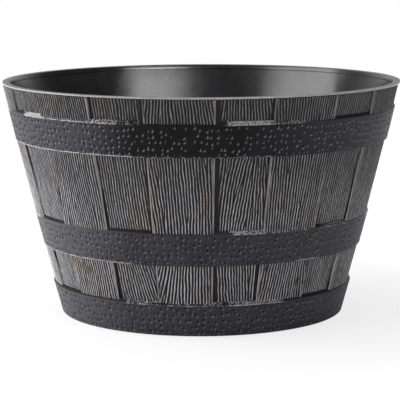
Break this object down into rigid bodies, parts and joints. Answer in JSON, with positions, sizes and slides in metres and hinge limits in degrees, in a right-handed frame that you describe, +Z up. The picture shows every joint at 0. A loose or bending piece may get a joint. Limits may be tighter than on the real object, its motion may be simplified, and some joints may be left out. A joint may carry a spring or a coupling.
{
  "type": "planter",
  "caption": "Round, tapering half-barrel planter: wood-effect staves in two widths and hammered hoops round a smooth tub, with plugged drain outlets in its floor.",
  "frame": {"origin": "on the ground, at the middle of the foot", "axes": "+Z up along the tub's own axis; the front, as pictured, faces -Y"},
  "size_m": [0.5644, 0.5644, 0.33],
  "materials": {
    "tub_resin": "smooth satin black moulded resin, worn to pale grey on top of the rim",
    "stave_resin": "charcoal resin moulded with raised wavy wood grain, its ridges rubbed with pale grey-beige",
    "hoop_resin": "black resin with the pitted look of hammered iron, paler along the edges",
    "plug_rubber": "soft matt black rubber"
  },
  "bodies": {
    "planter": {"tub": "tub_resin", "hoop_top": "hoop_resin", "hoop_middle": "hoop_resin", "hoop_bottom": "hoop_resin", "stave_01_wide": "stave_resin", "stave_02_narrow": "stave_resin", "stave_03_wide": "stave_resin", "stave_04_narrow": "stave_resin", "stave_05_wide": "stave_resin", "stave_06_narrow": "stave_resin", "stave_07_wide": "stave_resin", "stave_08_narrow": "stave_resin", "stave_09_wide": "stave_resin", "stave_10_narrow": "stave_resin", "stave_11_wide": "stave_resin", "stave_12_narrow": "stave_resin", "stave_13_wide": "stave_resin", "stave_14_narrow": "stave_resin", "stave_15_wide": "stave_resin", "stave_16_narrow": "stave_resin", "stave_17_wide": "stave_resin", "stave_18_narrow": "stave_resin", "stave_19_wide": "stave_resin", "stave_20_narrow": "stave_resin"},
    "drain_plug_1": {"drain_plug_1": "plug_rubber"},
    "drain_plug_2": {"drain_plug_2": "plug_rubber"},
    "drain_plug_3": {"drain_plug_3": "plug_rubber"},
    "drain_plug_4": {"drain_plug_4": "plug_rubber"}
  },
  "joints": [
    {"name": "drain_plug_1_pull", "type": "slide", "parent": "planter", "child": "drain_plug_1", "axis": [0, 0, 1], "range_m": [0, 0.34]},
    {"name": "drain_plug_2_pull", "type": "slide", "parent": "planter", "child": "drain_plug_2", "axis": [0, 0, 1], "range_m": [0, 0.34]},
    {"name": "drain_plug_3_pull", "type": "slide", "parent": "planter", "child": "drain_plug_3", "axis": [0, 0, 1], "range_m": [0, 0.34]},
    {"name": "drain_plug_4_pull", "type": "slide", "parent": "planter", "child": "drain_plug_4", "axis": [0, 0, 1], "range_m": [0, 0.34]}
  ]
}
